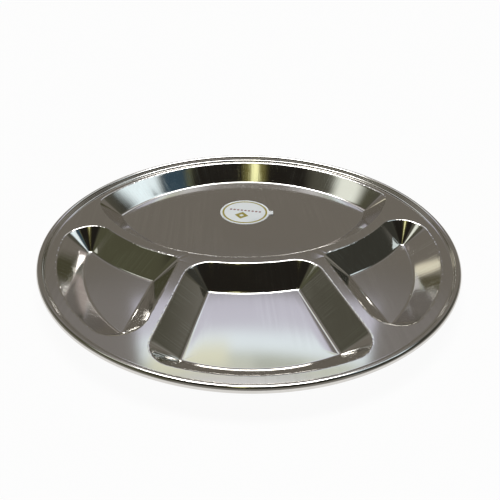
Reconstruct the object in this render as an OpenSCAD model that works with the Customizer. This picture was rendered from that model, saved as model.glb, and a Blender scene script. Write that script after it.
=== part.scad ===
// Round dinner plate pressed from one steel sheet, with four sunken pockets and a rolled edge.
// Millimetres. +Z is up, the pocket floors rest on z = 0, the plate's centre is on the Z axis,
// the small middle pocket points to -Y and the large pocket fills the +Y side.

/* [Sheet] */
// Outside diameter over the rolled edge
plate_diameter = 330; // [322:1:345]
// Thickness of the steel sheet
sheet_thickness = 0.6; // [0.5:0.05:0.8]
// Depth of every pocket, from the flat land down to the pocket floor
pocket_depth = 15; // [12:0.5:18]
// Horizontal width of the sloping pocket wall
wall_run = 18; // [16:0.2:18.2]
// Radius of the rounded edge where the land turns down into a pocket
edge_radius = 3; // [2:0.1:3.4]
// Radius inside the pocket where the wall meets the floor
floor_radius = 4; // [3:0.1:4.2]

/* [Rolled edge] */
// Outside radius of the rolled bead's cross-section
bead_radius = 2.6; // [2.2:0.1:3]
// Height of the bead's centre above the top of the land
bead_rise = 1.2; // [0.8:0.1:1.6]
// Radius of the hollow curve between the land and the bead
cove_radius = 1.8; // [1.4:0.1:2.4]
// Angle under the bead, from straight out, at which the roll ends
curl_end_angle = 145; // [110:5:150]

/* [Pockets] */
// Radius of the circle that bounds all pockets on the outside
pocket_circle_radius = 151.5; // [149:0.5:152]
// Radius in plan of each pocket's rounded corners
corner_radius = 20; // [20:0.5:22]
// Radius in plan of the tight corner where both dividers meet a side pocket
joint_corner_radius = 8; // [6:0.5:12]
// Radius of that tight corner at the pocket floor
joint_floor_radius = 2; // [1.5:0.25:3]
// Radius of the large pocket's bowed front edge
bow_radius = 143; // [140:1:146]
// Distance from the plate's centre back to the centre of that bow
bow_centre_back = 112; // [109:1:114]
// Width of the flat dividers between pockets
divider_width = 8.5; // [7.5:0.5:9.5]
// Distance from the plate's centre to the middle pocket's side wall lines
middle_side_offset = 37.7; // [35:0.1:39]
// Lean of those side wall lines from straight ahead
middle_side_angle = 14; // [12:0.5:16]

/* [Label] */
// Diameter of the round paper label
label_diameter = 47; // [40:1:52]
// Thickness of the label
label_thickness = 0.2; // [0.15:0.05:0.3]
// Distance of the label's centre behind the plate's centre
label_back = 68; // [60:1:76]
// Distance the lifting tab stands out of the label's edge
tab_reach = 3.5; // [2:0.5:5]
// Width of the lifting tab
tab_width = 7; // [4:0.5:9]
// Turn of the lifting tab around the label, from straight right
tab_angle = -8; // [-20:1:10]

/* [Hidden] */
$fn = 96;

// Straight steps in each rounded edge of the pressed walls
fillet_steps = 2;
// Straight steps in a half turn of the rolled edge
roll_steps = 10;
// Straight steps in a pocket corner
corner_steps = 6;
// Turn covered by one straight step of a long curved wall
arc_step = 5;
// Straight steps in a side pocket's bowed wall
joint_arc_steps = 6;
// Width of land between the pockets' outer edges and the joint with the revolved rim
joint_margin = 0.4;
// How far the pressed disc reaches into the revolved rim
joint_overlap = 1.2;
// Straight steps around the pressed disc
disc_steps = 72;

steel_color = [0.72, 0.72, 0.70];
paper_color = [0.93, 0.94, 0.93];

slope = atan2(pocket_depth, wall_run);
land_under = pocket_depth;
land_top = land_under + sheet_thickness;
under_shift = sheet_thickness * tan(slope / 2);
bead_centre = [plate_diameter / 2 - bead_radius, land_top + bead_rise];
cove_lift = cove_radius - bead_rise;
cove_gap = sqrt(pow(bead_radius + cove_radius, 2) - pow(cove_lift, 2));
cove_centre = [bead_centre[0] - cove_gap, land_top + cove_radius];
cove_angle = atan2(-cove_lift, cove_gap);
rim_inner_radius = pocket_circle_radius + edge_radius * tan(slope / 2) + joint_margin;
disc_radius = rim_inner_radius + joint_overlap;
bow_centre = [0, bow_centre_back];
back_radius = bow_radius + divider_width;
corner_circle = pocket_circle_radius - corner_radius;
side_normal = [cos(middle_side_angle), sin(middle_side_angle)];
side_heading = [sin(middle_side_angle), -cos(middle_side_angle)];
middle_line = middle_side_offset - corner_radius;
outer_line = middle_side_offset + divider_width;

// Point at a turn and a distance from a centre
function spoke(centre, distance, turn) = centre + distance * [cos(turn), sin(turn)];

// Turn of a point as seen from a centre
function turn_of(point, centre) = atan2(point[1] - centre[1], point[0] - centre[0]);

// Points on an arc, with both ends
function arc_points(centre, radius, from_turn, to_turn, steps) =
    [for (i = [0 : steps]) spoke(centre, radius, from_turn + (to_turn - from_turn) * i / steps)];

// Points on a long arc, without its ends
function arc_inside(centre, radius, from_turn, to_turn) =
    let (steps = ceil(abs(to_turn - from_turn) / arc_step))
    [for (i = [1 : steps - 1]) spoke(centre, radius, from_turn + (to_turn - from_turn) * i / steps)];

function flip(p) = [-p[0], p[1]];

// Corner centre on two circles: one about the plate's centre, one about the bow's centre
function two_circles(near, far) =
    let (y = (pow(bow_centre_back, 2) + pow(near, 2) - pow(far, 2)) / (2 * bow_centre_back))
    [sqrt(pow(near, 2) - pow(y, 2)), y];

// Corner centre on a line beside the side wall and on a circle about a point on the Y axis
function line_circle(line, radius, back) =
    line * side_normal
    + (sqrt(pow(radius, 2) - pow(line - back * side_normal[1], 2)) - back * side_normal[0])
    * side_heading;

large_corner = two_circles(corner_circle, bow_radius - corner_radius);
tip_corner = two_circles(corner_circle, back_radius + corner_radius);
toe_corner = line_circle(outer_line + corner_radius, corner_circle, 0);
heel_corner = line_circle(middle_line, back_radius + corner_radius, bow_centre_back);
ball_corner = line_circle(middle_line, corner_circle, 0);

// Radius and centre of the tight corner beside both dividers, for an outline grown by some amount
function joint_radius(grow) =
    joint_corner_radius + (joint_corner_radius - joint_floor_radius) * grow / wall_run;
function joint_centre(grow) =
    let (inset = joint_radius(grow) - grow)
    line_circle(outer_line + inset, back_radius + inset, bow_centre_back);

// Pocket outlines, grown outward by some amount; each runs anticlockwise

// Right half of the large pocket, from the middle of its bow to the back
function large_half(grow) =
    let (bow_turn = turn_of(large_corner, bow_centre))
    let (outer_turn = turn_of(large_corner, [0, 0]))
    concat(
        arc_inside(bow_centre, bow_radius + grow, -90, bow_turn),
        arc_points(large_corner, corner_radius + grow, bow_turn, outer_turn, corner_steps),
        arc_inside([0, 0], pocket_circle_radius + grow, outer_turn, 90)
    );

// Right half of the middle pocket, from the middle of its front to the back
function middle_half(grow) =
    let (outer_turn = turn_of(ball_corner, [0, 0]))
    let (bow_turn = turn_of(heel_corner, bow_centre))
    concat(
        arc_inside([0, 0], pocket_circle_radius + grow, -90, outer_turn),
        arc_points(ball_corner, corner_radius + grow, outer_turn, middle_side_angle, corner_steps),
        arc_points(heel_corner, corner_radius + grow, middle_side_angle, 180 + bow_turn, corner_steps),
        arc_inside(bow_centre, back_radius - grow, bow_turn, -90)
    );

function large_outline(grow) =
    let (half = large_half(grow))
    concat(
        [spoke(bow_centre, bow_radius + grow, -90)],
        half,
        [spoke([0, 0], pocket_circle_radius + grow, 90)],
        [for (i = [len(half) - 1 : -1 : 0]) flip(half[i])]
    );

function middle_outline(grow) =
    let (half = middle_half(grow))
    concat(
        [spoke([0, 0], pocket_circle_radius + grow, -90)],
        half,
        [spoke(bow_centre, back_radius - grow, -90)],
        [for (i = [len(half) - 1 : -1 : 0]) flip(half[i])]
    );

// Right-hand pocket: toe corner, outer wall, tip corner, bowed wall, tight corner
function side_outline(grow) =
    let (toe_turn = turn_of(toe_corner, [0, 0]))
    let (tip_turn = turn_of(tip_corner, [0, 0]))
    let (tip_bow_turn = turn_of(tip_corner, bow_centre))
    let (joint = joint_centre(grow))
    let (joint_turn = turn_of(joint, bow_centre))
    concat(
        arc_points(toe_corner, corner_radius + grow, middle_side_angle - 180, toe_turn, corner_steps),
        arc_inside([0, 0], pocket_circle_radius + grow, toe_turn, tip_turn),
        arc_points(tip_corner, corner_radius + grow, tip_turn, 180 + tip_bow_turn, corner_steps),
        [for (i = [1 : joint_arc_steps - 1])
            spoke(bow_centre, back_radius - grow,
                tip_bow_turn + (joint_turn - tip_bow_turn) * i / joint_arc_steps)],
        arc_points(joint, joint_radius(grow), 180 + joint_turn, middle_side_angle + 180, corner_steps)
    );

// Points of a wall section: [distance outside the wall's top edge line, height]
function wall_points(shift, floor_z, land_z, low_radius, high_radius) =
    let (low_x = shift - wall_run - low_radius * tan(slope / 2))
    let (high_x = shift + high_radius * tan(slope / 2))
    concat(
        [for (i = [0 : fillet_steps])
            let (a = slope * i / fillet_steps)
            [low_x + low_radius * sin(a), floor_z + low_radius * (1 - cos(a))]],
        [for (i = [fillet_steps : -1 : 0])
            let (a = slope * i / fillet_steps)
            [high_x - high_radius * sin(a), land_z - high_radius * (1 - cos(a))]]
    );

// Wall sections of the two skins of the sheet
upper_wall = wall_points(0, sheet_thickness, land_top, floor_radius, edge_radius);
under_wall = wall_points(
    under_shift, 0, land_under, floor_radius + sheet_thickness, edge_radius - sheet_thickness
);
ring_count = len(upper_wall);

large_count = len(large_outline(0));
middle_count = len(middle_outline(0));
side_count = len(side_outline(0));

// First point number of each pocket, of the disc's edge and of the second skin
large_first = 0;
middle_first = large_first + ring_count * large_count + 1;
right_first = middle_first + ring_count * middle_count + 1;
left_first = right_first + ring_count * side_count + 1;
disc_first = left_first + ring_count * side_count + 1;
skin_count = disc_first + disc_steps;

large_middle = [0, (pocket_circle_radius + bow_centre_back - bow_radius) / 2];
middle_middle = [0, (bow_centre_back - back_radius - pocket_circle_radius) / 2];
side_middle = (toe_corner + tip_corner + joint_centre(0)) / 3;

function raised(points, z) = [for (p = points) [p[0], p[1], z]];
function all_flipped(points) = [for (p = points) flip(p)];
function joined(lists) = [for (l = lists) for (p = l) p];

// Points of one skin
function skin_points(wall, land_z) = concat(
    joined([for (w = wall) raised(large_outline(w[0]), w[1])]),
    raised([large_middle], wall[0][1]),
    joined([for (w = wall) raised(middle_outline(w[0]), w[1])]),
    raised([middle_middle], wall[0][1]),
    joined([for (w = wall) raised(side_outline(w[0]), w[1])]),
    raised([side_middle], wall[0][1]),
    joined([for (w = wall) raised(all_flipped(side_outline(w[0])), w[1])]),
    raised([flip(side_middle)], wall[0][1]),
    raised(arc_points([0, 0], disc_radius, -90, 270 - 360 / disc_steps, disc_steps - 1), land_z)
);

// Triangles of one pocket's floor and wall, anticlockwise from above
function pocket_faces(first, count) = concat(
    [for (k = [0 : count - 1]) [first + ring_count * count, first + k, first + (k + 1) % count]],
    [for (i = [0 : ring_count - 2])
        for (k = [0 : count - 1])
            let (a = first + i * count)
            let (n = (k + 1) % count)
            [a + k, a + count + k, a + count + n]],
    [for (i = [0 : ring_count - 2])
        for (k = [0 : count - 1])
            let (a = first + i * count)
            let (n = (k + 1) % count)
            [a + k, a + count + n, a + n]]
);

function turned_over(faces) = [for (f = faces) [f[0], f[2], f[1]]];

// Land outlines are the pockets' topmost rings
edge_grow = upper_wall[ring_count - 1][0];
large_edge = large_outline(edge_grow);
middle_edge = middle_outline(edge_grow);
side_edge = side_outline(edge_grow);
large_top = large_first + (ring_count - 1) * large_count;
middle_top = middle_first + (ring_count - 1) * middle_count;
right_top = right_first + (ring_count - 1) * side_count;
left_top = left_first + (ring_count - 1) * side_count;

// Where each outline is split between two strips of land: the middle step of a corner
half_corner = floor(corner_steps / 2);
large_split = 1 + len(arc_inside(bow_centre, bow_radius, -90, turn_of(large_corner, bow_centre)))
    + half_corner;
ball_split = 1 + len(arc_inside([0, 0], pocket_circle_radius, -90, turn_of(ball_corner, [0, 0])))
    + half_corner;
heel_split = ball_split + corner_steps + 1;
toe_split = half_corner;
outer_wall_turns = [turn_of(toe_corner, [0, 0]), turn_of(tip_corner, [0, 0])];
tip_split = corner_steps + 1 + half_corner
    + len(arc_inside([0, 0], pocket_circle_radius, outer_wall_turns[0], outer_wall_turns[1]));
joint_split = side_count - 1 - half_corner;

// A run of outline points as [point number, key]; key 0 is the turn about the plate's centre,
// key 1 the turn about the bow's centre, and key 2 the distance along the side wall
function key_of(p, kind) =
    kind == 0 ? turn_of(p, [0, 0]) : kind == 1 ? turn_of(p, bow_centre) : p * side_heading;
function run(edge, top, from_k, step, to_k, kind) =
    [for (k = [from_k : step : to_k]) [top + k % len(edge), key_of(edge[k % len(edge)], kind)]];

// The same run on the plate's left side
function mirror_number(n) =
    n >= disc_first ? disc_first + (disc_steps - (n - disc_first)) % disc_steps :
    n >= right_top ? n - right_top + left_top :
    n >= middle_top ? middle_top + (middle_count - (n - middle_top)) % middle_count :
    large_top + (large_count - (n - large_top)) % large_count;

// Triangles between two runs whose keys both rise
function zip(p, q, i = 0, j = 0) =
    i == len(p) - 1 && j == len(q) - 1 ? [] :
    j == len(q) - 1 || (i < len(p) - 1 && p[i + 1][1] <= q[j + 1][1])
        ? concat([[p[i][0], q[j][0], p[i + 1][0]]], zip(p, q, i + 1, j))
        : concat([[p[i][0], q[j][0], q[j + 1][0]]], zip(p, q, i, j + 1));

// Strips of land on the right half: outer ring, bowed divider, side divider
outer_strip = zip(
    concat(
        run(middle_edge, middle_top, 0, 1, ball_split, 0),
        run(side_edge, right_top, toe_split, 1, tip_split, 0),
        run(large_edge, large_top, large_split, 1, large_count / 2, 0)
    ),
    [for (k = [0 : disc_steps / 2]) [disc_first + k, -90 + 360 * k / disc_steps]]
);
bow_strip = zip(
    run(large_edge, large_top, 0, 1, large_split, 1),
    concat(
        run(middle_edge, middle_top, middle_count / 2, -1, heel_split, 1),
        run(side_edge, right_top, joint_split, -1, tip_split, 1)
    )
);
side_strip = zip(
    run(side_edge, right_top, joint_split, 1, side_count + toe_split, 2),
    run(middle_edge, middle_top, heel_split, -1, ball_split, 2)
);
right_land = concat(outer_strip, bow_strip, side_strip);
left_land = turned_over([for (f = right_land) [for (n = f) mirror_number(n)]]);

// All triangles of one skin, anticlockwise from above
skin_faces = concat(
    pocket_faces(large_first, large_count),
    pocket_faces(middle_first, middle_count),
    pocket_faces(right_first, side_count),
    turned_over(pocket_faces(left_first, side_count)),
    right_land,
    left_land
);

// Pressed disc with its four pockets, as one closed sheet
module pressed_disc() {
    polyhedron(
        points = concat(skin_points(upper_wall, land_top), skin_points(under_wall, land_under)),
        faces = concat(
            turned_over(skin_faces),
            [for (f = skin_faces) [for (n = f) n + skin_count]],
            [for (k = [0 : disc_steps - 1])
                let (n = (k + 1) % disc_steps)
                [disc_first + k, disc_first + n, disc_first + n + skin_count]],
            [for (k = [0 : disc_steps - 1])
                let (n = (k + 1) % disc_steps)
                [disc_first + k, disc_first + n + skin_count, disc_first + k + skin_count]]
        ),
        convexity = 8
    );
}

// Outer ring of land with the hollow curve and the rolled bead, turned about the Z axis
module rolled_rim() {
    roll_start = 180 + cove_angle;
    roll_end = -curl_end_angle;
    roll_count = ceil((roll_start - roll_end) * roll_steps / 180);
    cove_count = ceil((cove_angle + 90) * roll_steps / 180);
    rotate_extrude()
        polygon(concat(
            [[rim_inner_radius, land_under], [rim_inner_radius, land_top]],
            arc_points(cove_centre, cove_radius, -90, cove_angle, cove_count),
            arc_points(bead_centre, bead_radius, roll_start, roll_end, roll_count),
            arc_points(bead_centre, bead_radius - sheet_thickness, roll_end, roll_start, roll_count),
            arc_points(cove_centre, cove_radius + sheet_thickness, cove_angle, -90, cove_count)
        ));
}

// The pressed sheet: land, bead and four pockets
module plate() {
    color(steel_color)
        union() {
            rolled_rim();
            pressed_disc();
        }
}

// Round paper label on the large pocket's floor, with a small lifting tab
module label() {
    color(paper_color)
        translate([0, label_back, sheet_thickness])
            union() {
                cylinder(d = label_diameter, h = label_thickness);
                rotate([0, 0, tab_angle])
                    translate([0, -tab_width / 2, 0])
                        cube([label_diameter / 2 + tab_reach, tab_width, label_thickness]);
            }
}

plate();
label();
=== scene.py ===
"""Looks of the round steel plate with four pockets: the sheet, its paper label, floor, light and camera."""

from math import asin, atan2, ceil, cos, exp, hypot, pi, radians, sin, sqrt, tan

import bpy
from mathutils import Matrix, Vector, noise
from mathutils.geometry import delaunay_2d_cdt


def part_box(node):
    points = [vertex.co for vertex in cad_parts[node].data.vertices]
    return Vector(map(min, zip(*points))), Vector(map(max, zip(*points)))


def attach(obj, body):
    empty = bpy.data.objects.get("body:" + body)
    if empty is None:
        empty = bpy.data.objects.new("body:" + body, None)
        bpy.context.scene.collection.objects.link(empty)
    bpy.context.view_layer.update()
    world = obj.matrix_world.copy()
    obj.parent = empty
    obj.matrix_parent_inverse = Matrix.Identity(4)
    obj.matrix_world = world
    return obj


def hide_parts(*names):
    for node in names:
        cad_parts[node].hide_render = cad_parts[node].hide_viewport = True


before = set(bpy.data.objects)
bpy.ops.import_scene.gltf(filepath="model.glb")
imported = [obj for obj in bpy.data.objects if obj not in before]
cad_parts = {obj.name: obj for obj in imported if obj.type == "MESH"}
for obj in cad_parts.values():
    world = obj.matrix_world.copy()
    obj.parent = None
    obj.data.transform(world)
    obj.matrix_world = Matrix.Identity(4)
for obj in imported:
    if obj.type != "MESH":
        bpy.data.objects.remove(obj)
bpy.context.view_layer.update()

# Sizes of the pressed sheet, in metres
PLATE_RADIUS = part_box("plate")[1].x
SHEET = 0.0006
POCKET_DEPTH = 0.015
WALL_RUN = 0.018
EDGE_RADIUS = 0.003
FLOOR_RADIUS = 0.004
POCKET_CIRCLE = 0.1515
CORNER_RADIUS = 0.020
TIGHT_CORNER_TOP = 0.008
TIGHT_CORNER_FLOOR = 0.002
BOW_RADIUS = 0.143
BOW_BACK = 0.112
DIVIDER = 0.0085
MIDDLE_SIDE_OFFSET = 0.0377
MIDDLE_SIDE_ANGLE = radians(14)
RIM_MARGIN = 0.0004

# Rolled edge
BEAD_RADIUS = 0.0026
BEAD_RISE = 0.0012
COVE_RADIUS = 0.0018
CURL_END = radians(145)

# Mesh steps
CORNER_STEPS = 28
ARC_STEP = radians(1.25)
TIGHT_BOW_STEPS = 32
FILLET_STEPS = 9
WALL_STEPS = 14
FLOOR_RINGS = 9
FLAT_BAND = 0.00025
SAME_POINT = 1e-9
RIM_STEPS = 480
BEAD_STEPS = 44
COVE_STEPS = 8

SLOPE = atan2(POCKET_DEPTH, WALL_RUN)
LAND_UNDER = POCKET_DEPTH
LAND_TOP = LAND_UNDER + SHEET
UNDER_SHIFT = SHEET * tan(SLOPE / 2)
RIM_INNER = POCKET_CIRCLE + EDGE_RADIUS * tan(SLOPE / 2) + RIM_MARGIN
BACK_RADIUS = BOW_RADIUS + DIVIDER
BOW_CENTRE = Vector((0, BOW_BACK))
CENTRE = Vector((0, 0))

# Marks of the press: shallow waves over the sheet, and pleats drawn into four corners
WAVE_HEIGHT = 0.00003
WAVE_LENGTH = 0.045
WAVE_FADE = 0.02
PLEAT_HEIGHT = 0.00014
PLEAT_REACH = 0.006
PLEATS_PER_RADIAN = 5
PLEAT_END = 2.5  # in reaches, from the pleats' middle
PLEAT_SHIFT = 3.7  # apart in the noise, so that no two corners match

# Label
LABEL_LOW, LABEL_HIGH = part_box("label")
LABEL_BACK = 0.068
LABEL_RADIUS = LABEL_HIGH.y - LABEL_BACK
PRINT_TURN = radians(-14)

# Steel: its colours, roughness and the heights of its marks in metres
STEEL_PLAIN = (0.665, 0.645, 0.615)
STEEL_POLISH_LINE = (0.695, 0.676, 0.645)
STEEL_DRAW_LINE = (0.73, 0.73, 0.70)
DUST_COLOUR = (0.55, 0.54, 0.50)
FLAT_ROUGHNESS = 0.06
WALL_ROUGHNESS_CHANGE = -0.015
HAZE_ROUGHNESS = 0.05
DRAW_LINE_ROUGHNESS = 0.06
DUST_METAL_CHANGE = -0.7
DRAW_LINE_HEIGHT = 0.000004
DENT_HEIGHT = 0.00008

# Label's paper and print
PAPER_SHADE = (0.83, 0.88, 0.91)
PAPER_LIGHT = (0.88, 0.91, 0.92)
PAPER_ROUGHNESS = 0.42
GRAIN_HEIGHT = 0.00005
PRINT_GOLD = (0.33, 0.28, 0.02)
PRINT_RED = (0.25, 0.08, 0.08)

# Camera: fitted to the rim, pocket edges and dividers
IMAGE_PIXELS = 500
FOCAL_PIXELS = 500
SENSOR_MM = 36
CAMERA_DISTANCE = 0.413
CAMERA_ELEVATION = radians(31.51)
PLATE_TURN = radians(4.02)
CAMERA_ROLL = radians(0.83)
VIEW_CENTRE_PIXELS = (249.5, 235.8)

# Studio: its floor, the white behind it, and the dim light where no card is
FLOOR_GREY = (0.88, 0.88, 0.88)
FLOOR_WHITE_SHARE = 0.94
BACKDROP_WHITE = (0.975, 0.975, 0.975)
STUDIO_DIM = (0.10, 0.097, 0.075)

# Cards of light round the plate: name, azimuth from +Y towards +X, half width, elevation, half
# height and softness, all in degrees, and its light; a later card lies over an earlier one
STUDIO_CARDS = [
    ("front wall", 0, 46, 22, 15, 6, (0.205, 0.188, 0.163)),
    ("upper front wall", 0, 46, 44, 9, 3, (0.25, 0.235, 0.225)),
    ("rear wall", 180, 75, 20, 18, 6, (0.26, 0.25, 0.23)),
    ("dark ceiling", 180, 78, 66, 17, 6, (0.018, 0.016, 0.013)),
    ("left wall", -100, 40, 35, 18, 5, (0.095, 0.095, 0.058)),
    ("right wall", 93, 33, 33, 17, 5, (0.048, 0.048, 0.040)),
    ("low left wall", -90, 45, 13, 12, 4, (0.27, 0.26, 0.235)),
    ("low right wall", 90, 45, 10, 10, 4, (0.27, 0.26, 0.235)),
    ("navy panel", 97, 9, 63, 8, 3, (0.045, 0.082, 0.115)),
    ("olive edge", 108, 2.5, 67, 7, 1.5, (0.14, 0.15, 0.09)),
    ("olive board", 22, 9, 11, 6, 3, (0.075, 0.072, 0.042)),
    ("olive shelf", -7, 6, 7, 4, 2, (0.12, 0.11, 0.07)),
    ("cream board", -15, 4, 14.5, 2.5, 1.5, (0.95, 0.90, 0.72)),
    ("mauve card", 0, 46, 57, 4, 2, (0.62, 0.56, 0.55)),
    ("window gap", 1, 9, 56.5, 2.5, 2, (0.13, 0.14, 0.11)),
    ("lavender card", 5, 17.5, 40.5, 2.5, 0.8, (0.76, 0.76, 0.90)),
    ("bright card", 5, 17.5, 43.6, 1.4, 0.9, (1.10, 1.24, 1.34)),
    ("cream card", 5, 17.5, 46.0, 1.2, 0.9, (0.74, 0.79, 0.66)),
    ("cream patch", -5, 6, 44.9, 1.3, 1.2, (1.02, 1.03, 0.80)),
    ("olive patch", 9, 4, 46.3, 1.0, 0.9, (0.50, 0.55, 0.46)),
    ("pale card", 5, 17.5, 49.0, 2.0, 0.9, (0.91, 0.91, 0.95)),
    ("zenith card", 0, 200, 88, 5, 2, (0.45, 0.45, 0.43)),
    ("overhead soft box", 0, 50, 68.5, 7, 2.5, (12, 12, 12)),
    ("right soft box", 73, 13, 57, 9, 3, (1.15, 1.32, 1.4)),
    ("right gap", 84, 3, 53, 3, 0.8, (0.05, 0.05, 0.04)),
    ("left soft box", -74, 8, 57, 8, 4, (1.1, 1.15, 1.05)),
    ("lamp halo", 191, 17, 76.5, 6, 6, (0.20, 0.18, 0.055)),
    ("strip lamp", 191.5, 6, 76.5, 6, 2, (1.5, 1.5, 0.8)),
    ("horizon", 0, 200, -2, 7, 2, (0.30, 0.29, 0.27)),
]


def spoke(centre, distance, turn):
    """Point at a turn and a distance from a centre."""
    return centre + distance * Vector((cos(turn), sin(turn)))


def turn_of(point, centre):
    """Direction from a centre to a point, in radians from +X."""
    return atan2(point.y - centre.y, point.x - centre.x)


def flip(point):
    """The same point on the plate's other side, left for right."""
    return Vector((-point.x, point.y))


def arc_points(centre, radius, start, end, steps):
    """Points on an arc, with both ends."""
    return [spoke(centre, radius, start + (end - start) * i / steps) for i in range(steps + 1)]


def arc_inside(centre, radius, start, end):
    """Points on a long arc, without its ends."""
    steps = ceil(abs(end - start) / ARC_STEP)
    return arc_points(centre, radius, start, end, steps)[1:-1]


def on_two_circles(near, far):
    """Corner centre on a circle about the plate's centre and one about the bow's centre."""
    y = (BOW_BACK ** 2 + near ** 2 - far ** 2) / (2 * BOW_BACK)
    return Vector((sqrt(near ** 2 - y ** 2), y))


def on_line_and_circle(line, radius, back):
    """Corner centre beside the middle pocket's side line and on a circle about a point on the Y axis."""
    across = Vector((cos(MIDDLE_SIDE_ANGLE), sin(MIDDLE_SIDE_ANGLE)))
    along = Vector((across.y, -across.x))
    return line * across + (sqrt(radius ** 2 - (line - back * across.y) ** 2) - back * across.x) * along


CORNER_CIRCLE = POCKET_CIRCLE - CORNER_RADIUS
MIDDLE_LINE = MIDDLE_SIDE_OFFSET - CORNER_RADIUS
SIDE_LINE = MIDDLE_SIDE_OFFSET + DIVIDER
LARGE_CORNER = on_two_circles(CORNER_CIRCLE, BOW_RADIUS - CORNER_RADIUS)
TIP_CORNER = on_two_circles(CORNER_CIRCLE, BACK_RADIUS + CORNER_RADIUS)
TOE_CORNER = on_line_and_circle(SIDE_LINE + CORNER_RADIUS, CORNER_CIRCLE, 0)
HEEL_CORNER = on_line_and_circle(MIDDLE_LINE, BACK_RADIUS + CORNER_RADIUS, BOW_BACK)
BALL_CORNER = on_line_and_circle(MIDDLE_LINE, CORNER_CIRCLE, 0)


def mirrored(first, half, last):
    """Closed outline from its right half, run anticlockwise."""
    return [first] + half + [last] + [flip(p) for p in reversed(half)]


def large_outline(grow):
    """Large pocket: bowed front wall, a corner at each end and the outer wall."""
    bow_turn = turn_of(LARGE_CORNER, BOW_CENTRE)
    outer_turn = turn_of(LARGE_CORNER, CENTRE)
    half = arc_inside(BOW_CENTRE, BOW_RADIUS + grow, -pi / 2, bow_turn)
    half += arc_points(LARGE_CORNER, CORNER_RADIUS + grow, bow_turn, outer_turn, CORNER_STEPS)
    half += arc_inside(CENTRE, POCKET_CIRCLE + grow, outer_turn, pi / 2)
    first = spoke(BOW_CENTRE, BOW_RADIUS + grow, -pi / 2)
    return mirrored(first, half, spoke(CENTRE, POCKET_CIRCLE + grow, pi / 2))


def middle_outline(grow):
    """Middle pocket: outer wall, ball corners, straight sides, heel corners and bowed back wall."""
    outer_turn = turn_of(BALL_CORNER, CENTRE)
    bow_turn = turn_of(HEEL_CORNER, BOW_CENTRE)
    radius = CORNER_RADIUS + grow
    half = arc_inside(CENTRE, POCKET_CIRCLE + grow, -pi / 2, outer_turn)
    half += arc_points(BALL_CORNER, radius, outer_turn, MIDDLE_SIDE_ANGLE, CORNER_STEPS)
    half += arc_points(HEEL_CORNER, radius, MIDDLE_SIDE_ANGLE, pi + bow_turn, CORNER_STEPS)
    half += arc_inside(BOW_CENTRE, BACK_RADIUS - grow, bow_turn, -pi / 2)
    first = spoke(CENTRE, POCKET_CIRCLE + grow, -pi / 2)
    return mirrored(first, half, spoke(BOW_CENTRE, BACK_RADIUS - grow, -pi / 2))


def side_outline(grow):
    """Right-hand pocket: toe corner, outer wall, tip corner, bowed wall, tight corner."""
    toe_turn = turn_of(TOE_CORNER, CENTRE)
    tip_turn = turn_of(TIP_CORNER, CENTRE)
    tip_bow = turn_of(TIP_CORNER, BOW_CENTRE)
    tight_radius = TIGHT_CORNER_TOP + (TIGHT_CORNER_TOP - TIGHT_CORNER_FLOOR) * grow / WALL_RUN
    inset = tight_radius - grow
    tight = on_line_and_circle(SIDE_LINE + inset, BACK_RADIUS + inset, BOW_BACK)
    tight_turn = turn_of(tight, BOW_CENTRE)
    radius = CORNER_RADIUS + grow
    points = arc_points(TOE_CORNER, radius, MIDDLE_SIDE_ANGLE - pi, toe_turn, CORNER_STEPS)
    points += arc_inside(CENTRE, POCKET_CIRCLE + grow, toe_turn, tip_turn)
    points += arc_points(TIP_CORNER, radius, tip_turn, pi + tip_bow, CORNER_STEPS)
    points += arc_points(BOW_CENTRE, BACK_RADIUS - grow, tip_bow, tight_turn, TIGHT_BOW_STEPS)[1:-1]
    points += arc_points(tight, tight_radius, pi + tight_turn, MIDDLE_SIDE_ANGLE + pi, CORNER_STEPS)
    return points


def left_outline(grow):
    """Left-hand pocket: the right-hand one in a mirror, still run anticlockwise."""
    return [flip(p) for p in reversed(side_outline(grow))]


# Each pocket's outline and the point that its floor's rings draw in to
POCKETS = {
    "large": (large_outline, Vector((0, (POCKET_CIRCLE + BOW_BACK - BOW_RADIUS) / 2))),
    "middle": (middle_outline, Vector((0, (BOW_BACK - BACK_RADIUS - POCKET_CIRCLE) / 2))),
    "right": (side_outline, (TOE_CORNER + 2 * TIP_CORNER) / 3),
    "left": (left_outline, flip((TOE_CORNER + 2 * TIP_CORNER) / 3)),
}


def pleated_corners():
    """Centre and outward turn of each corner that the press has pleated, on both sides."""
    inset = TIGHT_CORNER_TOP
    tight = on_line_and_circle(SIDE_LINE + inset, BACK_RADIUS + inset, BOW_BACK)
    tight_way = (turn_of(tight, BOW_CENTRE) + MIDDLE_SIDE_ANGLE) / 2 + pi
    ball_way = (turn_of(BALL_CORNER, CENTRE) + MIDDLE_SIDE_ANGLE) / 2
    right = [(tight, tight_way), (BALL_CORNER, ball_way)]
    return right + [(flip(centre), pi - way) for centre, way in right]


PLEATED_CORNERS = pleated_corners()


def press_marks(point):
    """How far the press has left the sheet above its true place, or below it if negative."""
    fade = min(1, max(0, (RIM_INNER - point.length) / WAVE_FADE))
    rise = WAVE_HEIGHT * fade * (1 + noise.noise(point.to_3d() / WAVE_LENGTH)) / 2
    for number, (centre, way) in enumerate(PLEATED_CORNERS):
        off = (point - spoke(centre, CORNER_RADIUS / 2, way)).length / PLEAT_REACH
        if off < PLEAT_END:
            turn = turn_of(point, centre) % (2 * pi)
            pleats = noise.noise(Vector((turn * PLEATS_PER_RADIAN, number * PLEAT_SHIFT, 0)))
            rise += PLEAT_HEIGHT * exp(-off * off) * pleats
    return rise


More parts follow.
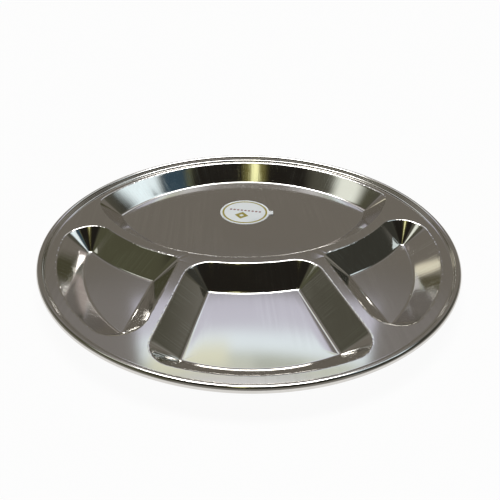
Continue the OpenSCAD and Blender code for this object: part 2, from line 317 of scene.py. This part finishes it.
def wall_section(shift, floor_z, land_z, low_radius, high_radius):
    """Points of a wall's section: distance outside its top edge line, height, wall and edge shares."""
    low_x = shift - WALL_RUN - low_radius * tan(SLOPE / 2)
    high_x = shift + high_radius * tan(SLOPE / 2)
    shares = [i / FILLET_STEPS for i in range(FILLET_STEPS + 1)]
    low = []
    high = []
    for share in shares:
        across = sin(SLOPE * share)
        up = 1 - cos(SLOPE * share)
        low.append((low_x + low_radius * across, floor_z + low_radius * up, share, 0))
        high.insert(0, (high_x - high_radius * across, land_z - high_radius * up, share, sin(pi * share)))
    start, end = low[-1], high[0]
    between = []
    for share in (i / WALL_STEPS for i in range(1, WALL_STEPS)):
        x = start[0] + (end[0] - start[0]) * share
        z = start[1] + (end[1] - start[1]) * share
        between.append((x, z, 1, 0))
    foot = (low_x - FLAT_BAND, floor_z, 0, 0)
    brink = (high_x + FLAT_BAND, land_z, 0, 0)
    return [foot] + low + between + high + [brink]


def round_way(outline, lift):
    """Each point's place on a circle as long as the outline, so that marks down the wall close up."""
    run = [0]
    for a, b in zip(outline, outline[1:] + outline[:1]):
        run.append(run[-1] + (b - a).length)
    radius = run[-1] / (2 * pi)
    return [(radius * cos(s / radius), radius * sin(s / radius), lift) for s in run[:-1]]


def lies_inside(point, outline):
    """Whether a point lies inside a closed outline, by counting the edges to its right."""
    inside = False
    for a, b in zip(outline, outline[1:] + outline[:1]):
        if (a.y > point.y) != (b.y > point.y):
            if point.x < a.x + (point.y - a.y) * (b.x - a.x) / (b.y - a.y):
                inside = not inside
    return inside


class Sheet:
    """Vertices, faces and surface shares of the pressed sheet, gathered skin by skin."""

    def __init__(self):
        self.points = []
        self.faces = []
        self.ways = []
        self.walls = []
        self.edges = []

    def ring(self, outline, z, ways=None, wall=0, edge=0):
        """Adds a closed ring of points and returns their numbers."""
        first = len(self.points)
        count = len(outline)
        self.points += [(p.x, p.y, z + press_marks(p)) for p in outline]
        self.ways += ways or [(0, 0, 0)] * count
        self.walls += [wall] * count
        self.edges += [edge] * count
        return list(range(first, first + count))

    def band(self, inner, outer, up):
        """Quads from one ring to the next, which face up if that is farther out and up is set."""
        for k in range(len(inner)):
            n = (k + 1) % len(inner)
            quad = [inner[k], outer[k], outer[n], inner[n]]
            self.faces.append(quad if up else quad[::-1])

    def floor(self, rim, outline, middle, z, up):
        """A pocket's floor: rings drawn in to its middle point."""
        outer = rim
        for i in range(1, FLOOR_RINGS):
            share = 1 - i / FLOOR_RINGS
            inner = self.ring([middle + (p - middle) * share for p in outline], z)
            self.band(inner, outer, up)
            outer = inner
        tip = self.ring([middle], z)[0]
        for k in range(len(outer)):
            face = [tip, outer[k], outer[(k + 1) % len(outer)]]
            self.faces.append(face if up else face[::-1])

    def land(self, loops, z, up):
        """Flat land between the outer ring, which comes first, and the pockets' edges."""
        numbers = [n for loop in loops for n in loop]
        flat = [Vector(self.points[n][:2]) for n in numbers]
        edges = []
        first = 0
        for loop in loops:
            count = len(loop)
            edges += [(first + k, first + (k + 1) % count) for k in range(count)]
            first += count
        _, _, triangles, origins, _, _ = delaunay_2d_cdt(flat, edges, [], 0, SAME_POINT)
        source = [numbers[ids[0]] for ids in origins]
        pockets = [[Vector(self.points[n][:2]) for n in loop] for loop in loops[1:]]
        for triangle in triangles:
            corners = [source[k] for k in triangle]
            a, b, c = (Vector(self.points[n][:2]) for n in corners)
            middle = (a + b + c) / 3
            if any(lies_inside(middle, pocket) for pocket in pockets):
                continue
            anticlockwise = (b - a).cross(c - a) > 0
            self.faces.append(corners if anticlockwise == up else corners[::-1])


def add_skin(sheet, shift, floor_z, land_z, low_radius, high_radius, up):
    """One skin of the pressed disc; returns the ring at the rolled edge's foot."""
    section = wall_section(shift, floor_z, land_z, low_radius, high_radius)
    rim = sheet.ring(arc_points(CENTRE, RIM_INNER, 0, 2 * pi, RIM_STEPS)[:-1], land_z)
    loops = [rim]
    for outline, middle in POCKETS.values():
        ways = round_way(outline(0), middle.x)
        rings = [sheet.ring(outline(grow), z, ways, wall, edge) for grow, z, wall, edge in section]
        sheet.floor(rings[0], outline(section[0][0]), middle, floor_z, up)
        for inner, outer in zip(rings, rings[1:]):
            sheet.band(inner, outer, up)
        loops.append(rings[-1])
    sheet.land(loops, land_z, up)
    return rim


def rim_section():
    """Section of the rolled edge: over the cove and the bead to its end, and back inside the sheet."""
    bead = Vector((PLATE_RADIUS - BEAD_RADIUS, LAND_TOP + BEAD_RISE))
    lift = COVE_RADIUS - BEAD_RISE
    gap = sqrt((BEAD_RADIUS + COVE_RADIUS) ** 2 - lift ** 2)
    cove = Vector((bead.x - gap, LAND_TOP + COVE_RADIUS))
    meet = atan2(-lift, gap)
    flat_top = [Vector((cove.x - FLAT_BAND, LAND_TOP))]
    flat_under = [Vector((cove.x - FLAT_BAND, LAND_UNDER))]
    over = arc_points(cove, COVE_RADIUS, -pi / 2, meet, COVE_STEPS)
    over += arc_points(bead, BEAD_RADIUS, pi + meet, -CURL_END, BEAD_STEPS)[1:]
    back = arc_points(bead, BEAD_RADIUS - SHEET, -CURL_END, pi + meet, BEAD_STEPS)
    back += arc_points(cove, COVE_RADIUS + SHEET, meet, -pi / 2, COVE_STEPS)[1:]
    return flat_top + over + back + flat_under


def pressed_plate():
    """The whole pressed sheet as one closed mesh."""
    sheet = Sheet()
    top = add_skin(sheet, 0, SHEET, LAND_TOP, FLOOR_RADIUS, EDGE_RADIUS, True)
    under = add_skin(sheet, UNDER_SHIFT, 0, LAND_UNDER, FLOOR_RADIUS + SHEET, EDGE_RADIUS - SHEET, False)
    last = top
    for point in rim_section():
        turned = sheet.ring(arc_points(CENTRE, point.x, 0, 2 * pi, RIM_STEPS)[:-1], point.y)
        sheet.band(last, turned, True)
        last = turned
    sheet.band(last, under, True)
    plate = new_piece("pressed_plate", sheet.points, sheet.faces)
    marks = plate.data.attributes
    marks.new("wall", "FLOAT", "POINT").data.foreach_set("value", sheet.walls)
    marks.new("edge", "FLOAT", "POINT").data.foreach_set("value", sheet.edges)
    flat_ways = [number for way in sheet.ways for number in way]
    marks.new("way", "FLOAT_VECTOR", "POINT").data.foreach_set("vector", flat_ways)
    return plate


def new_piece(name, points, faces):
    """Smooth mesh object in the scene."""
    mesh = bpy.data.meshes.new(name)
    mesh.from_pydata(points, [], faces)
    mesh.validate()
    mesh.shade_smooth()
    piece = bpy.data.objects.new(name, mesh)
    bpy.context.scene.collection.objects.link(piece)
    return piece


def paper_label():
    """Round sticker with a soft edge and a small tab that lifts off the steel."""
    steps = 180
    tab_turn = radians(-8)
    tab_half = 0.0035
    tab_reach = 0.0035
    tab_lift = 0.0007
    lift_power = 1.5
    flat_share = 0.97
    lift_from = LABEL_RADIUS * flat_share
    edge_round = 0.00005
    ring_shares = (0.35, 0.7, 0.92)
    clear_turn = radians(1)  # kept free of round points on each side of the tab
    outside_turn = 1e-4  # in radians, as is the next: the tab's sides stand almost straight out
    inside_turn = 1e-5
    centre = Vector((0, LABEL_BACK))
    low = LABEL_LOW.z
    high = LABEL_HIGH.z
    tab_length = LABEL_RADIUS + tab_reach

    def reach(turn):
        """Distance to the label's outline, tab included."""
        off = turn - tab_turn
        across = abs(sin(off)) * tab_length
        if cos(off) > 0 and across < tab_half:
            return min(tab_length / cos(off), hypot(tab_length, tab_half))
        return LABEL_RADIUS

    turns = [2 * pi * k / steps for k in range(steps)]
    side = asin(tab_half / tab_length)
    turns = [t for t in turns if abs((t - tab_turn + pi) % (2 * pi) - pi) > side + clear_turn]
    tab = [tab_turn]
    for way in (-1, 1):
        tab += [tab_turn + way * (side + outside_turn), tab_turn + way * (side - inside_turn)]
    turns = sorted(turns + [t % (2 * pi) for t in tab])
    points = []
    faces = []

    def lift_at(distance):
        """Rise of the paper at a distance from its middle: the tab curls up."""
        beyond = max(0, distance - lift_from) / (tab_length - lift_from)
        return tab_lift * beyond ** lift_power

    def ring(distances, z):
        """Adds a ring of points at each turn's own distance, and returns their numbers."""
        first = len(points)
        for t, distance in zip(turns, distances):
            p = spoke(centre, distance, t)
            points.append((p.x, p.y, z + lift_at(distance)))
        return list(range(first, len(points)))

    count = len(turns)
    outline = [reach(t) for t in turns]
    drawn_in = [distance - edge_round for distance in outline]
    rings = [ring([LABEL_RADIUS * share] * count, low) for share in ring_shares]
    rings.append(ring(drawn_in, low))
    rings.append(ring(outline, low + edge_round))
    rings.append(ring(outline, high - edge_round))
    rings.append(ring(drawn_in, high))
    rings += [ring([LABEL_RADIUS * share] * count, high) for share in reversed(ring_shares)]
    for a, b in zip(rings, rings[1:]):
        for k in range(count):
            n = (k + 1) % count
            faces.append([a[k], a[n], b[n], b[k]])
    for z, ends, turned in ((low, rings[0], True), (high, rings[-1], False)):
        points.append((centre.x, centre.y, z))
        tip = len(points) - 1
        for k in range(count):
            face = [tip, ends[k], ends[(k + 1) % count]]
            faces.append(face[::-1] if turned else face)
    return new_piece("paper_label", points, faces)


def studio_floor():
    """Large pale floor that reaches past the view, level with the plate's underside."""
    reach = 4.0
    steps = 96
    rim = arc_points(CENTRE, reach, 0, 2 * pi, steps)[:-1]
    points = [(0, 0, 0)] + [(p.x, p.y, 0) for p in rim]
    faces = [[0, 1 + k, 1 + (k + 1) % steps] for k in range(steps)]
    return new_piece("studio_floor", points, faces)


def new_material(name):
    """Material with an empty node tree, and that tree."""
    material = bpy.data.materials.new(name)
    material.use_nodes = True
    tree = material.node_tree
    tree.nodes.clear()
    return material, tree


def add_node(tree, kind, label="", **inputs):
    """Node with a label, and with numbers or colours set on the inputs that are named."""
    node = tree.nodes.new(kind)
    node.label = label
    for key, value in inputs.items():
        node.inputs[key].default_value = value
    return node


def math_node(tree, operation, first, second=None, third=None):
    """Result of an operation on one to three values; each is a number or a node's socket."""
    node = tree.nodes.new("ShaderNodeMath")
    node.operation = operation
    for socket, value in zip(node.inputs, (first, second, third)):
        if value is None:
            continue
        if isinstance(value, (int, float)):
            socket.default_value = value
        else:
            tree.links.new(value, socket)
    return node.outputs[0]


def soft_step(tree, value, low, high):
    """0 at low and 1 at high, with a soft rise between; either may be the larger."""
    node = tree.nodes.new("ShaderNodeMapRange")
    node.interpolation_type = "SMOOTHSTEP"
    node.clamp = True
    for name, socket in (("Value", value), ("From Min", low), ("From Max", high)):
        if isinstance(socket, (int, float)):
            node.inputs[name].default_value = socket
        else:
            tree.links.new(socket, node.inputs[name])
    return node.outputs["Result"]


def new_group(name, inputs, outputs):
    """Shader node group with named sockets: (name, type, default)."""
    group = bpy.data.node_groups.new(name, "ShaderNodeTree")
    for socket, kind, default in inputs:
        made = group.interface.new_socket(socket, in_out="INPUT", socket_type=kind)
        if default is not None:
            made.default_value = default
    for socket, kind in outputs:
        group.interface.new_socket(socket, in_out="OUTPUT", socket_type=kind)
    return group, group.nodes.new("NodeGroupInput"), group.nodes.new("NodeGroupOutput")


def mix_colour(tree, share, first, second):
    """Mix of two colours; each is either plain numbers or another node's socket."""
    node = tree.nodes.new("ShaderNodeMix")
    node.data_type = "RGBA"
    sockets = {k.identifier: k for k in node.inputs}
    tree.links.new(share, sockets["Factor_Float"])
    for name, colour in (("A_Color", first), ("B_Color", second)):
        if isinstance(colour, tuple):
            sockets[name].default_value = (*colour, 1)
        else:
            tree.links.new(colour, sockets[name])
    return {k.identifier: k for k in node.outputs}["Result_Color"]


def stretched(tree, vector, scale):
    """A place scaled by its own number along each axis."""
    node = tree.nodes.new("ShaderNodeVectorMath")
    node.operation = "MULTIPLY"
    node.inputs[1].default_value = scale
    tree.links.new(vector, node.inputs[0])
    return node.outputs[0]


def cloud(tree, vector, scale, detail=2):
    """Soft noise from 0 to 1; the scale is in features per metre along each axis."""
    node = tree.nodes.new("ShaderNodeTexNoise")
    node.inputs["Scale"].default_value = 1
    node.inputs["Detail"].default_value = detail
    tree.links.new(stretched(tree, vector, scale), node.inputs["Vector"])
    return node.outputs[0]


def use_group(tree, group, **sockets):
    """Places a node group, links its inputs by name and returns its outputs."""
    node = tree.nodes.new("ShaderNodeGroup")
    node.node_tree = group
    for name, socket in sockets.items():
        tree.links.new(socket, node.inputs[name])
    return node.outputs


def polish_lines_group():
    """Lines that polishing leaves from front to back, in broad patches that fade out."""
    group, given, out = new_group("polish_lines", [("Place", "NodeSocketVector", None)],
                                  [("Lines", "NodeSocketFloat")])
    place = given.outputs["Place"]
    line_scale = (330, 9, 60)
    line_range = (0.38, 0.66)
    patch_scale = (16, 12, 16)
    patch_range = (0.42, 0.62)
    lines = soft_step(group, cloud(group, place, line_scale), *line_range)
    patches = soft_step(group, cloud(group, place, patch_scale), *patch_range)
    group.links.new(math_node(group, "MULTIPLY", lines, patches), out.inputs["Lines"])
    return group


def draw_marks_group():
    """Marks of the press: lines down the walls, in patches, and dents along the pockets' edges."""
    number = "NodeSocketFloat"
    vector = "NodeSocketVector"
    inputs = [("Place", vector, None), ("Way", vector, None), ("Wall", number, 0.0), ("Edge", number, 0.0)]
    group, given, out = new_group("draw_marks", inputs, [("Lines", number), ("Dents", number)])
    line_scale = (800, 800, 800)
    line_range = (0.4, 0.7)
    patch_scale = (45, 45, 45)
    patch_range = (0.4, 0.6)
    dent_scale = (300, 300, 300)
    dent_range = (0.38, 0.62)
    place = given.outputs["Place"]
    way = given.outputs["Way"]
    lines = soft_step(group, cloud(group, way, line_scale), *line_range)
    patches = soft_step(group, cloud(group, place, patch_scale), *patch_range)
    shown = math_node(group, "MULTIPLY", lines, patches)
    group.links.new(math_node(group, "MULTIPLY", shown, given.outputs["Wall"]), out.inputs["Lines"])
    dents = soft_step(group, cloud(group, way, dent_scale, detail=1), *dent_range)
    group.links.new(math_node(group, "MULTIPLY", dents, given.outputs["Edge"]), out.inputs["Dents"])
    return group


def handling_group():
    """Faint haze from handling, and small specks of dust."""
    number = "NodeSocketFloat"
    group, given, out = new_group("handling", [("Place", "NodeSocketVector", None)],
                                  [("Haze", number), ("Dust", number)])
    haze_scale = (24, 24, 24)
    speck_scale = (60, 60, 60)
    speck_range = (0.032, 0.018)
    empty_cells_share = 0.6
    place = given.outputs["Place"]
    group.links.new(cloud(group, place, haze_scale, detail=4), out.inputs["Haze"])
    cells = add_node(group, "ShaderNodeTexVoronoi", "specks", Scale=1)
    group.links.new(stretched(group, place, speck_scale), cells.inputs["Vector"])
    near = soft_step(group, cells.outputs["Distance"], *speck_range)
    pick = group.nodes.new("ShaderNodeSeparateColor")
    group.links.new(cells.outputs["Color"], pick.inputs[0])
    chosen = math_node(group, "GREATER_THAN", pick.outputs[0], empty_cells_share)
    group.links.new(math_node(group, "MULTIPLY", near, chosen), out.inputs["Dust"])
    return group


def named_attribute(tree, name):
    """Node that reads one of the sheet's own point attributes."""
    node = tree.nodes.new("ShaderNodeAttribute")
    node.attribute_name = name
    return node


def steel_material():
    """Mirror-polished steel with polishing lines, draw marks on the walls, haze and dust."""
    material, tree = new_material("polished_steel")
    links = tree.links
    place = tree.nodes.new("ShaderNodeTexCoord").outputs["Object"]
    wall = named_attribute(tree, "wall").outputs["Fac"]
    edge = named_attribute(tree, "edge").outputs["Fac"]
    way = named_attribute(tree, "way").outputs["Vector"]
    polish = use_group(tree, polish_lines_group(), Place=place)["Lines"]
    drawn = use_group(tree, draw_marks_group(), Place=place, Way=way, Wall=wall, Edge=edge)
    handled = use_group(tree, handling_group(), Place=place)
    shader = add_node(tree, "ShaderNodeBsdfPrincipled", "steel")
    colour = mix_colour(tree, polish, STEEL_PLAIN, STEEL_POLISH_LINE)
    colour = mix_colour(tree, drawn["Lines"], colour, STEEL_DRAW_LINE)
    colour = mix_colour(tree, handled["Dust"], colour, DUST_COLOUR)
    links.new(colour, shader.inputs["Base Color"])
    rough = math_node(tree, "MULTIPLY_ADD", wall, WALL_ROUGHNESS_CHANGE, FLAT_ROUGHNESS)
    rough = math_node(tree, "MULTIPLY_ADD", handled["Haze"], HAZE_ROUGHNESS, rough)
    rough = math_node(tree, "MULTIPLY_ADD", drawn["Lines"], DRAW_LINE_ROUGHNESS, rough)
    links.new(rough, shader.inputs["Roughness"])
    metal = math_node(tree, "MULTIPLY_ADD", handled["Dust"], DUST_METAL_CHANGE, 1)
    links.new(metal, shader.inputs["Metallic"])
    height = math_node(tree, "MULTIPLY", drawn["Lines"], DRAW_LINE_HEIGHT)
    height = math_node(tree, "MULTIPLY_ADD", drawn["Dents"], DENT_HEIGHT, height)
    bump = add_node(tree, "ShaderNodeBump", "marks", Strength=1, Distance=1)
    links.new(height, bump.inputs["Height"])
    links.new(bump.outputs[0], shader.inputs["Normal"])
    output = tree.nodes.new("ShaderNodeOutputMaterial")
    links.new(shader.outputs[0], output.inputs[0])
    return material


def label_print_group():
    """Generic print: a thin ring near the label's edge, a row of small dots and a hollow diamond."""
    number = "NodeSocketFloat"
    group, given, out = new_group("label_print", [("Place", "NodeSocketVector", None)],
                                  [("Gold", number), ("Red", number)])
    parts = group.nodes.new("ShaderNodeSeparateXYZ")
    group.links.new(given.outputs["Place"], parts.inputs[0])
    x = math_node(group, "DIVIDE", parts.outputs["X"], LABEL_RADIUS)
    behind = math_node(group, "SUBTRACT", parts.outputs["Y"], LABEL_BACK)
    y = math_node(group, "DIVIDE", behind, LABEL_RADIUS)
    along_y = math_node(group, "MULTIPLY", y, sin(PRINT_TURN))
    along = math_node(group, "MULTIPLY_ADD", x, cos(PRINT_TURN), along_y)
    across_y = math_node(group, "MULTIPLY", y, cos(PRINT_TURN))
    across = math_node(group, "MULTIPLY_ADD", x, -sin(PRINT_TURN), across_y)

    def length(first, second):
        """Distance from the origin of a point given by its two coordinates."""
        squares = math_node(group, "MULTIPLY", second, second)
        squares = math_node(group, "MULTIPLY_ADD", first, first, squares)
        return math_node(group, "SQRT", squares)

    def size_of(value):
        return math_node(group, "ABSOLUTE", value)

    # Sizes of the print, as shares of the label's radius; a range runs from no ink to full ink
    ring_share = 0.875
    ring_range = (0.045, 0.03)
    diamond_along_share = -0.08
    diamond_across_share = -0.30
    diamond_share = 0.19
    diamond_range = (0.10, 0.08)
    dot_spacing_share = 0.15
    dot_range = (0.06, 0.045)
    dot_row_share = 0.12
    dot_row_half_share = 0.675
    ring_off = size_of(math_node(group, "SUBTRACT", length(x, y), ring_share))
    ring = soft_step(group, ring_off, *ring_range)
    low = size_of(math_node(group, "SUBTRACT", across, diamond_across_share))
    side = size_of(math_node(group, "SUBTRACT", along, diamond_along_share))
    diamond_off = math_node(group, "SUBTRACT", math_node(group, "ADD", low, side), diamond_share)
    diamond = soft_step(group, size_of(diamond_off), *diamond_range)
    group.links.new(math_node(group, "MAXIMUM", ring, diamond), out.inputs["Gold"])
    nearest = math_node(group, "WRAP", along, dot_spacing_share / 2, -dot_spacing_share / 2)
    row = math_node(group, "SUBTRACT", across, dot_row_share)
    dots = soft_step(group, length(nearest, row), *dot_range)
    inside = math_node(group, "LESS_THAN", size_of(along), dot_row_half_share)
    group.links.new(math_node(group, "MULTIPLY", dots, inside), out.inputs["Red"])
    return group


def label_material():
    """Coated white paper with a generic print, a fine grain and slightly worn colour."""
    material, tree = new_material("label_paper")
    links = tree.links
    place = tree.nodes.new("ShaderNodeTexCoord").outputs["Object"]
    printed = use_group(tree, label_print_group(), Place=place)
    grain_scale = (2400, 2400, 2400)
    tone_scale = (90, 90, 90)
    grain = cloud(tree, place, grain_scale, detail=3)
    tone = cloud(tree, place, tone_scale, detail=3)
    shader = add_node(tree, "ShaderNodeBsdfPrincipled", "paper", Roughness=PAPER_ROUGHNESS)
    colour = mix_colour(tree, tone, PAPER_SHADE, PAPER_LIGHT)
    colour = mix_colour(tree, printed["Gold"], colour, PRINT_GOLD)
    colour = mix_colour(tree, printed["Red"], colour, PRINT_RED)
    links.new(colour, shader.inputs["Base Color"])
    bump = add_node(tree, "ShaderNodeBump", "grain", Strength=0.3, Distance=GRAIN_HEIGHT)
    links.new(grain, bump.inputs["Height"])
    links.new(bump.outputs[0], shader.inputs["Normal"])
    output = tree.nodes.new("ShaderNodeOutputMaterial")
    links.new(shader.outputs[0], output.inputs[0])
    return material


def shown_background(tree):
    """1 for rays from the camera, from a mirror and through glass, and 0 for light on the object."""
    path = tree.nodes.new("ShaderNodeLightPath").outputs
    seen = math_node(tree, "MAXIMUM", path["Is Camera Ray"], path["Is Glossy Ray"])
    return math_node(tree, "MAXIMUM", seen, path["Is Transmission Ray"])


def floor_material():
    """Pale floor: it takes the plate's shadow, and is lifted towards white where it is seen."""
    material, tree = new_material("pale_floor")
    links = tree.links
    output = tree.nodes.new("ShaderNodeOutputMaterial")
    diffuse = add_node(tree, "ShaderNodeBsdfDiffuse", "floor", Color=(*FLOOR_GREY, 1))
    white = add_node(tree, "ShaderNodeEmission", "white", Color=(1, 1, 1, 1), Strength=1)
    mix = tree.nodes.new("ShaderNodeMixShader")
    share = math_node(tree, "MULTIPLY", shown_background(tree), FLOOR_WHITE_SHARE)
    links.new(share, mix.inputs[0])
    links.new(diffuse.outputs[0], mix.inputs[1])
    links.new(white.outputs[0], mix.inputs[2])
    links.new(mix.outputs[0], output.inputs[0])
    return material


def soft_card_group():
    """Mask of a soft-edged card on the studio's sky, by its azimuth and elevation in degrees."""
    number = "NodeSocketFloat"
    names = ("Azimuth", "Elevation", "Card Azimuth", "Card Elevation", "Half Width", "Half Height", "Soft")
    group, given, out = new_group("soft_card", [(n, number, 0.0) for n in names], [("Mask", number)])
    value = {n: given.outputs[n] for n in names}
    off = math_node(group, "SUBTRACT", value["Azimuth"], value["Card Azimuth"])
    across = math_node(group, "ABSOLUTE", math_node(group, "WRAP", off, 180, -180))
    above = math_node(group, "SUBTRACT", value["Elevation"], value["Card Elevation"])
    up = math_node(group, "ABSOLUTE", above)
    masks = []
    for distance, half in ((across, value["Half Width"]), (up, value["Half Height"])):
        inner = math_node(group, "SUBTRACT", half, value["Soft"])
        outer = math_node(group, "ADD", half, value["Soft"])
        masks.append(soft_step(group, distance, outer, inner))
    group.links.new(math_node(group, "MULTIPLY", *masks), out.inputs["Mask"])
    return group


def studio_world():
    """Soft studio round the plate: dim walls and soft cards of light, and white where the camera looks."""
    world = bpy.data.worlds.new("studio")
    world.use_nodes = True
    tree = world.node_tree
    tree.nodes.clear()
    links = tree.links
    place = tree.nodes.new("ShaderNodeTexCoord")
    parts = tree.nodes.new("ShaderNodeSeparateXYZ")
    links.new(place.outputs["Generated"], parts.inputs[0])
    azimuth = math_node(tree, "DEGREES", math_node(tree, "ARCTAN2", parts.outputs["X"], parts.outputs["Y"]))
    elevation = math_node(tree, "DEGREES", math_node(tree, "ARCSINE", parts.outputs["Z"]))
    group = soft_card_group()
    sizes = ("Card Azimuth", "Half Width", "Card Elevation", "Half Height", "Soft")
    colour = STUDIO_DIM
    for name, *card_sizes, card_colour in STUDIO_CARDS:
        card = tree.nodes.new("ShaderNodeGroup")
        card.node_tree = group
        card.label = name
        links.new(azimuth, card.inputs["Azimuth"])
        links.new(elevation, card.inputs["Elevation"])
        for socket, size in zip(sizes, card_sizes):
            card.inputs[socket].default_value = size
        colour = mix_colour(tree, card.outputs["Mask"], colour, card_colour)
    light = tree.nodes.new("ShaderNodeBackground")
    links.new(colour, light.inputs["Color"])
    white = add_node(tree, "ShaderNodeBackground", "backdrop", Color=(*BACKDROP_WHITE, 1))
    path = tree.nodes.new("ShaderNodeLightPath")
    mix = tree.nodes.new("ShaderNodeMixShader")
    links.new(path.outputs["Is Camera Ray"], mix.inputs[0])
    links.new(light.outputs[0], mix.inputs[1])
    links.new(white.outputs[0], mix.inputs[2])
    output = tree.nodes.new("ShaderNodeOutputWorld")
    links.new(mix.outputs[0], output.inputs[0])
    bpy.context.scene.world = world


def make_camera():
    """Camera at the photograph's angle, aimed at the plate's middle, with a small roll and shift."""
    data = bpy.data.cameras.new("camera")
    data.sensor_width = SENSOR_MM
    data.lens = SENSOR_MM * FOCAL_PIXELS / IMAGE_PIXELS
    data.shift_x = (IMAGE_PIXELS / 2 - VIEW_CENTRE_PIXELS[0]) / IMAGE_PIXELS
    data.shift_y = (VIEW_CENTRE_PIXELS[1] - IMAGE_PIXELS / 2) / IMAGE_PIXELS
    camera = bpy.data.objects.new("camera", data)
    right = Vector((1, 0, 0))
    ahead = Vector((0, cos(CAMERA_ELEVATION), -sin(CAMERA_ELEVATION)))
    up = Vector((0, sin(CAMERA_ELEVATION), cos(CAMERA_ELEVATION)))
    side = cos(CAMERA_ROLL) * right + sin(CAMERA_ROLL) * up
    top = -sin(CAMERA_ROLL) * right + cos(CAMERA_ROLL) * up
    turned = Matrix.Rotation(-PLATE_TURN, 3, "Z")
    axes = Matrix((turned @ side, turned @ top, turned @ -ahead)).transposed()
    place = turned @ (-CAMERA_DISTANCE * ahead) + Vector((0, 0, LAND_TOP))
    camera.matrix_world = Matrix.Translation(place) @ axes.to_4x4()
    bpy.context.scene.collection.objects.link(camera)
    bpy.context.scene.camera = camera


def dress():
    """Makes the object's pieces, hangs each on the root body and hides the CAD part that it stands in for.
    """
    plate = pressed_plate()
    plate.data.materials.append(steel_material())
    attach(plate, "root")
    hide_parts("plate")
    label = paper_label()
    label.data.materials.append(label_material())
    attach(label, "root")
    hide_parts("label")


def stage():
    """Makes the floor, the light and the camera."""
    floor = studio_floor()
    floor.data.materials.append(floor_material())
    studio_world()
    make_camera()
    bpy.context.scene.view_settings.view_transform = "Standard"


dress()
stage()
bpy.context.view_layer.update()
